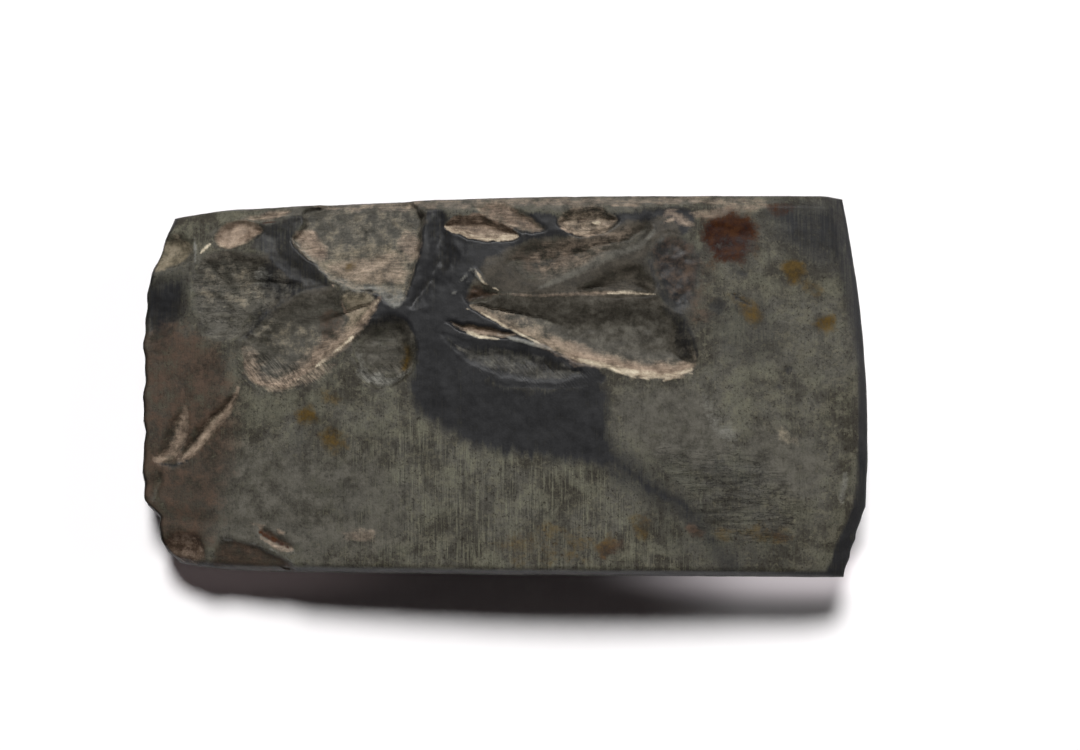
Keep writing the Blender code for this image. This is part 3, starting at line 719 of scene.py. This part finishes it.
def flake(x, y):
    """Depth of the deepest scar at each place, with the tints of that scar, the painted highlight and
    painted shade of its walls among them.
    """
    depth = np.zeros(x.shape)
    scarred = np.zeros(x.shape)
    tints = {name: np.zeros(x.shape) for name in TINTS}
    shift_x = 0.5 * layered_noise(x, y, 3.0, 31)
    shift_y = layered_noise(4.0 * x, y, 3.0, 37)
    for patch in GROUND_PATCHES:
        weight = patch.weight(x + shift_x, y + patch.comb * shift_y)
        tints[patch.tint] = np.maximum(tints[patch.tint], patch.amount * weight)
    for scar in BUTT_SCARS + MIDDLE_SCARS + GREAT_SCARS:
        # the two wall shares carry the painted highlight and the painted shade
        cut, fresh_and_lit_wall, shaded_wall, mask = scar.cut(x, y)
        lead = np.clip(0.5 + (cut - depth) / RIDGE_ROUND, 0.0, 1.0) * (cut > 0.0)
        own = mask * lead
        depth = mix(depth, cut, lead) + 0.5 * RIDGE_ROUND * lead * (1.0 - lead)
        scarred = np.maximum(scarred, own)
        for name in TINTS:
            tints[name] = mix(tints[name], scar.tint(name, fresh_and_lit_wall, shaded_wall), own)
    return depth, scarred, tints


def lay(tints, name, weight):
    """Lays one tint over a place; dark, which the other colours would hide, thins them first."""
    if name == "dark":
        for other in COVERS:
            tints[other] = tints[other] * (1.0 - DARK_CLEARS * weight * (other != name))
    tints[name] = np.maximum(tints[name], weight)


# Painted shade along the rims that slope away from the light, laid as the dark tint, which also makes them
# smoother: how dark it is, and how wide in millimetres or as shares of the stone
NARROW_RIM_DARK = 0.85
NARROW_RIM_WIDTH = 1.5
NARROW_RIM_TAPER = 0.8
NARROW_RIM_SOFT = 0.6
BROKEN_CORNER_WIDTH = 2.4
BROKEN_CORNER_START = 0.55
WIDE_RIM_DARK = 0.66
WIDE_RIM_WIDTH = {1: 4.8, -1: 2.2}
WIDE_RIM_SOFT = 2.2
SIDE_RIM_DARK = {1: 0.2, -1: 0.8}
SIDE_RIM_SHARE = 0.012
BUTT_RIM_DARK = 0.9
BUTT_RIM_SHARE = 0.006


def rim_painted_shade(along, across):
    """Painted shade along the rims that slope away from the light: a narrow and a wide band at the edge,
    the sides and the butt.
    """
    to_edge = (1.0 - along) * (blade_x(across) - butt_x(across))
    corner = BROKEN_CORNER_WIDTH * np.clip(-across - BROKEN_CORNER_START, 0.0, 1.0)
    worn = NARROW_RIM_WIDTH - NARROW_RIM_TAPER * across + corner
    narrow = NARROW_RIM_DARK * smooth(0.5 + (worn - to_edge) / NARROW_RIM_SOFT)
    reach = mix(WIDE_RIM_WIDTH[-1], WIDE_RIM_WIDTH[1], smooth((across + 0.1) / 0.9))
    wide = WIDE_RIM_DARK * smooth((reach - to_edge) / WIDE_RIM_SOFT)
    side = by_side(across, SIDE_RIM_DARK) * smooth(2.0 - (1.0 - abs(across)) / SIDE_RIM_SHARE)
    butt = BUTT_RIM_DARK * smooth(1.6 - along / BUTT_RIM_SHARE)
    return np.maximum.reduce([narrow, wide, side, butt])


def paint(x, y, along, across, depth, tints):
    """Adds the patches and the strokes, some of them painted highlight and painted shade, and the painted
    shade along the rims.
    """
    shift_x = 0.5 * layered_noise(x, y, 2.0, 41)
    shift_y = 0.5 * layered_noise(x, y, 2.0, 43)
    for patch in SPOTS:
        lay(tints, patch.tint, patch.amount * patch.weight(x + shift_x, y + shift_y))
    for stroke in STROKES:
        weight = stroke.weight(x, y)
        lay(tints, stroke.tint, stroke.amount * weight)
        depth = depth + stroke.relief * weight
    # painted shade along the rims, laid as the dark tint
    tints["dark"] = np.maximum(tints["dark"], rim_painted_shade(along, across))
    return depth, tints


# The mesh

def stations(count, low, high, dense):
    """Stations from low to high, twice as close together between the two dense places."""
    fine = np.linspace(low, high, 2001)
    weight = np.where((fine > dense[0]) & (fine < dense[1]), 2.0, 1.0)
    travel = np.concatenate([[0.0], np.cumsum(0.5 * (weight[1:] + weight[:-1]))])
    places = np.interp(np.linspace(0.0, travel[-1], count + 1), travel, fine)
    places[0], places[-1] = low, high
    return places


def fine_relief(x, y, z):
    """Small unevenness along the normals: waves and grain."""
    flat_x, flat_y = x + 1.3 * z, y - 1.7 * z
    return 0.05 * layered_noise(flat_x, flat_y, 4.0, 51) + 0.012 * value_noise(flat_x, flat_y, 0.7, 57)


def floor_relief(x, y, scarred, tints):
    """Ripples, fibres and crushed stone on the scars' floors."""
    crushed = tints["crushed"] * (0.28 * layered_noise(x, y, 1.3, 71) + 0.12 * value_noise(x, y, 0.6, 77))
    fibre = 0.09 * value_noise(x, y * 3.5, 4.0, 81) + 0.07 * value_noise(x, y * 2.5, 1.6, 83)
    uneven = 0.15 * layered_noise(x, y, 2.6, 85) + 0.05 * value_noise(x, y, 0.8, 87)
    return crushed + tints["fibre"] * fibre + scarred * uneven


# The underside's broad scars: shares along and across, half length, half breadth, turn and depth
UNDER_SCARS = [
    (0.10, 0.30, 9.0, 7.0, 20.0, 1.3),
    (0.16, -0.52, 10.0, 6.5, -25.0, 1.4),
    (0.36, 0.80, 11.0, 4.5, 4.0, 1.2),
]


def under_relief(x, y):
    """How deep the scars of the underside go, each of them part of a stretched sphere."""
    depth = np.zeros(x.shape)
    for along, across, half_length, half_breadth, turn, deepest in UNDER_SCARS:
        middle_x = BUTT_START + along * LENGTH
        middle_y = across * half_width(middle_x, across)
        angle = math.radians(turn)
        travel = (x - middle_x) * math.cos(angle) + (y - middle_y) * math.sin(angle)
        offset = (y - middle_y) * math.cos(angle) - (x - middle_x) * math.sin(angle)
        reach = (travel / half_length) ** 2 + (offset / half_breadth) ** 2
        scoop = 2.0 * np.sqrt(np.clip(1.0 - 0.75 * reach, 0.0, 1.0)) - 1.0
        depth = np.maximum(depth, deepest * scoop)
    return depth


class Shell:
    """Collects the points and faces of the closed stone."""

    def __init__(self):
        self.points = []
        self.count = 0
        self.faces = []

    def add_rows(self, x, y, z):
        numbers = np.arange(x.size).reshape(x.shape) + self.count
        self.points.append(np.stack([x, y, z], axis=-1).reshape(-1, 3))
        self.count += x.size
        return numbers

    def join(self, first, second):
        """Quads between two rows of equal length."""
        quads = np.stack([first[:-1], first[1:], second[1:], second[:-1]], axis=1)
        self.faces.extend(quads.tolist())

    def join_coarser(self, fine, coarse):
        """Faces from a row to one that has COARSER times fewer steps."""
        sides = [fine[step:len(fine) - COARSER + step:COARSER] for step in range(COARSER)]
        sides = np.stack(sides + [fine[COARSER::COARSER], coarse[1:], coarse[:-1]], axis=1)
        self.faces.extend(sides.tolist())

    def place(self, numbers):
        return np.concatenate(self.points)[numbers]


def add_side(shell, upper, lower, row, station, turned):
    """The long side wall between the rims of the two faces; returns its rows from the top."""
    high, low = shell.place(upper)[:, 2], shell.place(lower)[:, 2]
    rows = [upper]
    for step in range(1, SIDE_ROWS):
        share = step / SIDE_ROWS
        x, y, _, _ = place_in_plan(row, station, 1.0 - 2.0 * share)
        rows.append(shell.add_rows(x, y, mix(high, low, share)))
    rows.append(lower)
    for previous, current in zip(rows[:-1], rows[1:]):
        if turned:
            shell.join(current, previous)
        else:
            shell.join(previous, current)
    return rows


def add_butt(shell, upper, lower, station, minus_rows, plus_rows):
    """The battered end face, which shares its first and last points with the side walls."""
    high, low = shell.place(upper[::COARSER])[:, 2], shell.place(lower)[:, 2]
    previous = None
    for step in range(1, SIDE_ROWS):
        share = step / SIDE_ROWS
        x, y, _, _ = place_in_plan(np.zeros(station.shape), station, 1.0 - 2.0 * share)
        inner = shell.add_rows(x[1:-1], y[1:-1], mix(high, low, share)[1:-1])
        current = np.concatenate([[minus_rows[step][0]], inner, [plus_rows[step][0]]])
        if previous is None:
            shell.join_coarser(upper, current)
        else:
            shell.join(previous, current)
        previous = current
    shell.join(previous, lower)


def build_shell():
    shell = Shell()
    row, station = np.meshgrid(stations(COLUMNS, 0.0, 1.0, DENSE_ALONG),
                               stations(COARSER * UNDER_ROWS, -1.0, 1.0, DENSE_ACROSS), indexing="ij")
    x, y, along, across = place_in_plan(row, station, 1.0)
    top, bottom = face_heights(x, along, across)
    warped_x, warped_y = warp(x, y)
    depth, scarred, tints = flake(warped_x, warped_y)
    depth = depth + floor_relief(x, y, scarred, tints)
    depth, tints = paint(x, y, along, across, depth, tints)
    tints["scarred"] = scarred
    top = np.maximum(top - depth, bottom + LEAST_THICKNESS)
    upper = shell.add_rows(x, y, top)
    bottom = bottom + under_relief(x, y)
    lower = shell.add_rows(x[:, ::COARSER], y[:, ::COARSER], bottom[:, ::COARSER])
    for first, second in zip(upper[:-1], upper[1:]):
        shell.join(second, first)
    for first, second in zip(lower[:-1], lower[1:]):
        shell.join(first, second)
    minus = add_side(shell, upper[:, 0], lower[:, 0], row[:, 0], station[:, 0], True)
    plus = add_side(shell, upper[:, -1], lower[:, -1], row[:, -1], station[:, -1], False)
    add_butt(shell, upper[0], lower[0], station[0, ::COARSER], minus, plus)
    shell.join_coarser(upper[-1][::-1], lower[-1][::-1])
    shell.faces.append([line[-1] for line in minus])
    shell.faces.append([line[-1] for line in reversed(plus)])
    return shell, upper, tints


def make_stone():
    shell, upper, tints = build_shell()
    points = np.concatenate(shell.points)
    mesh = bpy.data.meshes.new("axe_head_stone")
    mesh.from_pydata((points * MM).tolist(), [], shell.faces)
    normals = np.empty(len(points) * 3)
    mesh.vertices.foreach_get("normal", normals)
    normals = normals.reshape(-1, 3)
    shift = fine_relief(points[:, 0], points[:, 1], points[:, 2])
    shift = np.where(points[:, 2] < 0.02, 0.0, shift)
    points = np.clip(points + normals * shift[:, None], NODE_LOW, NODE_HIGH)
    mesh.vertices.foreach_set("co", (points * MM).ravel())
    for name, amounts in tints.items():
        values = np.full(len(points), HIDDEN_TINTS.get(name, 0.0))
        values[upper.ravel()] = np.clip(amounts, 0.0, 1.0).ravel()
        attribute = mesh.attributes.new(name, "FLOAT", "POINT")
        attribute.data.foreach_set("value", values)
    mesh.shade_smooth()
    mesh.update()
    item = bpy.data.objects.new("axe_head_stone", mesh)
    bpy.context.scene.collection.objects.link(item)
    return item


# Material

# Noises: size along X, Y and Z in millimetres, detail, roughness, distortion and turn
NOISES = {
    "blotch": ((11.0, 11.0, 11.0), 5.0, 0.65),
    "cloud": ((4.5, 4.5, 4.5), 4.0, 0.6, 0.4),
    "mottle": ((2.2, 2.2, 2.2), 6.0, 0.75),
    "clump": ((0.9, 0.9, 0.9), 4.0, 0.7, 0.4),
    "speckle": ((0.35, 0.35, 0.35), 3.0, 0.7),
    "scratch": ((0.30, 6.0, 2.0), 4.0, 0.65),
    "fibre": ((6.0, 0.75, 0.8), 5.0, 0.62, 0.7),
    "rays": ((3.0, 0.32, 0.8), 3.0, 0.6, 0.3, -48.0),
    "plates": ((5.0, 1.1, 1.1), 4.0, 0.6, 0.5),
}

# Surface: roughness, how much less of it the dark stone has, mirroring, and bump in millimetres
ROUGHNESS = 0.58
DARK_POLISH = 0.16
MIRRORING = 0.13
BUMP_STRENGTH = 0.4
BUMP_HEIGHT = 0.25

# Darkest and lightest tone of the blotches in the patina
BLOTCH_TONES = ((63, 60, 53), (89, 87, 80))

# Layers of the patina: noise, where it starts and where it is full, its most, and its tone
PATINA_CLOUDS = (
    ("mottle", 0.52, 0.60, 0.7, (102, 99, 86)),
    ("mottle", 0.48, 0.40, 0.5, (54, 51, 46)),
    ("cloud", 0.50, 0.64, 0.55, (106, 105, 91)),
    ("cloud", 0.48, 0.36, 0.35, (58, 56, 50)),
)
PATINA_GRAIN = (
    ("clump", 0.54, 0.64, 0.35, (116, 112, 94)),
    ("clump", 0.46, 0.36, 0.35, (56, 52, 47)),
    ("speckle", 0.42, 0.32, 0.8, (42, 37, 33)),
    ("clump", 0.36, 0.30, 0.8, (38, 34, 27)),
)
BRUSH_LINES = ((0.52, 0.70, (114, 113, 97)), (0.46, 0.30, (56, 55, 49)))


class Nodes:
    """Short ways to add and link shader nodes."""

    def __init__(self, name):
        self.material = bpy.data.materials.new(name)
        self.material.use_nodes = True
        self.tree = self.material.node_tree
        self.shader = self.tree.nodes["Principled BSDF"]

    def link(self, source, target):
        self.tree.links.new(source, target)

    def attribute(self, name):
        node = self.tree.nodes.new("ShaderNodeAttribute")
        node.attribute_name = name
        return node.outputs["Fac"]

    def math(self, operation, first, second=0.0, third=0.0):
        node = self.tree.nodes.new("ShaderNodeMath")
        node.operation = operation
        for socket, value in zip(node.inputs, (first, second, third)):
            if isinstance(value, (int, float)):
                socket.default_value = value
            else:
                self.link(value, socket)
        return node.outputs[0]

    def noise(self, stretch, detail, roughness, distortion=0.0, turn=0.0):
        """Noise over object space; stretch is its size in millimetres along X, Y and Z, turned about Z."""
        place = self.tree.nodes.new("ShaderNodeTexCoord")
        scale = self.tree.nodes.new("ShaderNodeMapping")
        scale.vector_type = "TEXTURE"
        scale.inputs["Scale"].default_value = [size * MM for size in stretch]
        scale.inputs["Rotation"].default_value = (0.0, 0.0, math.radians(turn))
        texture = self.tree.nodes.new("ShaderNodeTexNoise")
        texture.inputs["Scale"].default_value = 1.0
        texture.inputs["Detail"].default_value = detail
        texture.inputs["Roughness"].default_value = roughness
        texture.inputs["Distortion"].default_value = distortion
        self.link(place.outputs["Object"], scale.inputs["Vector"])
        self.link(scale.outputs["Vector"], texture.inputs["Vector"])
        return texture.outputs["Fac"]

    def spread(self, value, low, high, to_low=0.0, to_high=1.0):
        node = self.tree.nodes.new("ShaderNodeMapRange")
        node.inputs["From Min"].default_value = low
        node.inputs["From Max"].default_value = high
        node.inputs["To Min"].default_value = to_low
        node.inputs["To Max"].default_value = to_high
        self.link(value, node.inputs["Value"])
        return node.outputs["Result"]

    def blend(self, factor, first, second, mode="MIX"):
        node = self.tree.nodes.new("ShaderNodeMix")
        node.data_type = "RGBA"
        node.blend_type = mode
        node.clamp_factor = True
        if isinstance(factor, float):
            node.inputs["Factor"].default_value = factor
        else:
            self.link(factor, node.inputs["Factor"])
        for name, value in (("A", first), ("B", second)):
            socket = next(item for item in node.inputs if item.name == name and item.type == "RGBA")
            if isinstance(value, tuple):
                socket.default_value = value + (1.0,)
            else:
                self.link(value, socket)
        return next(item for item in node.outputs if item.type == "RGBA")

    def broken(self, name, noise, soft):
        """A tint's mask as a patchy cover: its amount says how much of the noise it takes in."""
        amount = self.attribute(name)
        mask = self.math("ADD", amount, self.spread(noise, 0.26, 0.74, -0.5, 0.5))
        mask = self.spread(mask, 0.5 - soft, 0.5 + soft)
        return self.math("MULTIPLY", mask, self.spread(amount, 0.0, 0.15))


def tone(red, green, blue):
    """Linear base colour of a surface that shows these sRGB values under the studio light."""
    parts = []
    for value in (red, green, blue):
        value = value / 255.0
        linear = value / 12.92 if value <= 0.04045 else ((value + 0.055) / 1.055) ** 2.4
        parts.append(max(linear - HAZE, 0.002) / LIGHT_LEVEL)
    return tuple(parts)


def add_noises(nodes):
    """All noises by name, with two mixed ones for the borders of the covers."""
    noises = {name: nodes.noise(*sizes) for name, sizes in NOISES.items()}
    upright = nodes.math("ADD", noises["scratch"], noises["mottle"])
    noises["vertical"] = nodes.math("MULTIPLY", upright, 0.5)
    mottle = nodes.math("MULTIPLY", noises["mottle"], 0.65)
    noises["level"] = nodes.math("MULTIPLY_ADD", noises["fibre"], 0.35, mottle)
    return noises


def add_layers(nodes, noises, colour, layers):
    for name, start, full, most, shade in layers:
        colour = nodes.blend(nodes.spread(noises[name], start, full, 0.0, most), colour, tone(*shade))
    return colour


def patina_colour(nodes, noises):
    """The ground surface: blotched, clouded, brushed and grained."""
    low, high = BLOTCH_TONES
    colour = nodes.blend(nodes.spread(noises["blotch"], 0.42, 0.58), tone(*low), tone(*high))
    colour = add_layers(nodes, noises, colour, PATINA_CLOUDS)
    brushed = nodes.spread(nodes.attribute("brushed"), 0.0, 1.0, 0.25, 0.85)
    for start, full, shade in BRUSH_LINES:
        lines = nodes.math("MULTIPLY", nodes.spread(noises["scratch"], start, full), brushed)
        colour = nodes.blend(lines, colour, tone(*shade))
    return add_layers(nodes, noises, colour, PATINA_GRAIN)


def add_covers(nodes, noises, colour):
    """Lays the colours over the patina, each with a broken border."""
    for name, (low, high, border, soft) in COVERS.items():
        grain = noises["mottle" if border == "vertical" else border]
        shade = nodes.blend(nodes.spread(grain, 0.38, 0.62), tone(*low), tone(*high))
        colour = nodes.blend(nodes.broken(name, noises[border], soft), colour, shade)
    return colour


def add_streaks(nodes, noises, colour, fibrous, rayed):
    """Lightens and darkens a colour along its fibres and rays, and darkens its cracks."""
    streak = nodes.math("SUBTRACT", nodes.spread(noises["fibre"], 0.36, 0.66, 0.72, 1.28), 1.0)
    streak = nodes.math("MULTIPLY_ADD", streak, fibrous, 1.0)
    streak = nodes.math("ADD", streak, rayed)
    crack = nodes.math("ABSOLUTE", nodes.math("SUBTRACT", noises["plates"], 0.5))
    crack = nodes.math("MULTIPLY", nodes.spread(crack, 0.0, 0.03, 0.62, 0.0), fibrous)
    value = nodes.math("MULTIPLY", streak, nodes.spread(noises["speckle"], 0.25, 0.75, 0.84, 1.16))
    value = nodes.math("MULTIPLY", value, nodes.math("SUBTRACT", 1.0, crack))
    gray = nodes.tree.nodes.new("ShaderNodeCombineColor")
    for socket in gray.inputs[:3]:
        nodes.link(value, socket)
    return nodes.blend(1.0, colour, gray.outputs[0], "MULTIPLY")


def add_bump(nodes, noises, fibrous, rayed, dark):
    """Grain, fibres and rays as small height; the dark stone is smoother."""
    height = nodes.math("MULTIPLY", nodes.math("ADD", noises["speckle"], noises["scratch"]), 0.5)
    height = nodes.math("MULTIPLY_ADD", noises["mottle"], 0.8, height)
    fibres = nodes.math("MULTIPLY", noises["fibre"], fibrous)
    height = nodes.math("MULTIPLY_ADD", fibres, 1.2, height)
    height = nodes.math("ADD", height, rayed)
    height = nodes.math("MULTIPLY", height, nodes.math("MULTIPLY_ADD", dark, -0.75, 1.0))
    bump = nodes.tree.nodes.new("ShaderNodeBump")
    bump.inputs["Strength"].default_value = BUMP_STRENGTH
    bump.inputs["Distance"].default_value = BUMP_HEIGHT * MM
    nodes.link(height, bump.inputs["Height"])
    nodes.link(bump.outputs["Normal"], nodes.shader.inputs["Normal"])


def stone_material():
    nodes = Nodes("flaked jade")
    noises = add_noises(nodes)
    dark, fibrous = nodes.attribute("dark"), nodes.attribute("fibre")
    rayed = nodes.spread(noises["rays"], 0.40, 0.60, -0.4, 0.3)
    rayed = nodes.math("MULTIPLY", rayed, nodes.attribute("rays"))
    colour = add_covers(nodes, noises, patina_colour(nodes, noises))
    nodes.link(add_streaks(nodes, noises, colour, fibrous, rayed), nodes.shader.inputs["Base Color"])
    rough = nodes.math("MULTIPLY_ADD", dark, -DARK_POLISH, ROUGHNESS)
    rough = nodes.math("ADD", rough, nodes.spread(noises["mottle"], 0.3, 0.7, -0.06, 0.06))
    nodes.link(rough, nodes.shader.inputs["Roughness"])
    nodes.shader.inputs["Specular IOR Level"].default_value = MIRRORING
    add_bump(nodes, noises, fibrous, rayed, dark)
    return nodes.material


def floor_material():
    nodes = Nodes("white paper")
    nodes.shader.inputs["Base Color"].default_value = FLOOR_COLOUR
    nodes.shader.inputs["Roughness"].default_value = 0.9
    nodes.shader.inputs["Specular IOR Level"].default_value = 0.1
    return nodes.material


# Studio

def make_floor():
    bm = bmesh.new()
    bmesh.ops.create_grid(bm, x_segments=1, y_segments=1, size=FLOOR_HALF)
    mesh = bpy.data.meshes.new("floor")
    bm.to_mesh(mesh)
    bm.free()
    mesh.materials.append(floor_material())
    floor = bpy.data.objects.new("floor", mesh)
    bpy.context.scene.collection.objects.link(floor)


def sky_direction(compass, elevation):
    """The direction at a compass angle from +Y towards +X, and an elevation."""
    turn, rise = math.radians(compass), math.radians(elevation)
    return Vector((math.sin(turn) * math.cos(rise), math.cos(turn) * math.cos(rise), math.sin(rise)))


def add_light(kind, name, energy, place, target):
    light = bpy.data.lights.new(name, kind)
    light.energy = energy
    item = bpy.data.objects.new(name, light)
    item.location = place
    item.rotation_euler = (target - place).to_track_quat("-Z", "Y").to_euler()
    bpy.context.scene.collection.objects.link(item)
    return light


def add_sun(name, compass, elevation, strength, angle):
    sun = add_light("SUN", name, strength, sky_direction(compass, elevation), Vector((0.0, 0.0, 0.0)))
    sun.angle = math.radians(angle)


def add_kicker(name, x, compass, energy, colour):
    """A narrow lamp low beyond one end, which lights the floor along the shaded side."""
    lit = Vector((x, KICKER_SIDE, 0.0)) * MM
    place = lit + KICKER_DISTANCE * sky_direction(compass, KICKER_ELEVATION)
    lamp = add_light("SPOT", name, energy, place, lit)
    lamp.color = colour
    lamp.spot_size = math.radians(KICKER_BEAM)
    lamp.spot_blend = 1.0
    lamp.shadow_soft_size = KICKER_RADIUS


def add_camera():
    data = bpy.data.cameras.new("camera")
    data.lens = CAMERA_LENS
    data.sensor_width = CAMERA_SENSOR
    camera = bpy.data.objects.new("camera", data)
    bpy.context.scene.collection.objects.link(camera)
    elevation = math.radians(CAMERA_ELEVATION)
    target = Vector(looked_at() + (PHOTO_PLANE,)) * MM
    backwards = Vector((0.0, -math.cos(elevation), math.sin(elevation)))
    camera.location = target + backwards * CAMERA_DISTANCE * MM
    camera.rotation_euler = (math.pi / 2 - elevation, 0.0, 0.0)
    bpy.context.scene.camera = camera


def light_scene():
    world = bpy.data.worlds.new("studio")
    world.use_nodes = True
    world.node_tree.nodes["Background"].inputs["Color"].default_value = WORLD_COLOUR
    world.node_tree.nodes["Background"].inputs["Strength"].default_value = WORLD_STRENGTH
    bpy.context.scene.world = world
    for sun in SUNS:
        add_sun(*sun)
    for kicker in KICKERS:
        add_kicker(*kicker)
    bpy.context.scene.view_settings.view_transform = "Standard"


add_camera()
light_scene()
make_floor()
stone = make_stone()
stone.data.materials.append(stone_material())
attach(stone, "root")
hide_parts("axe_head")
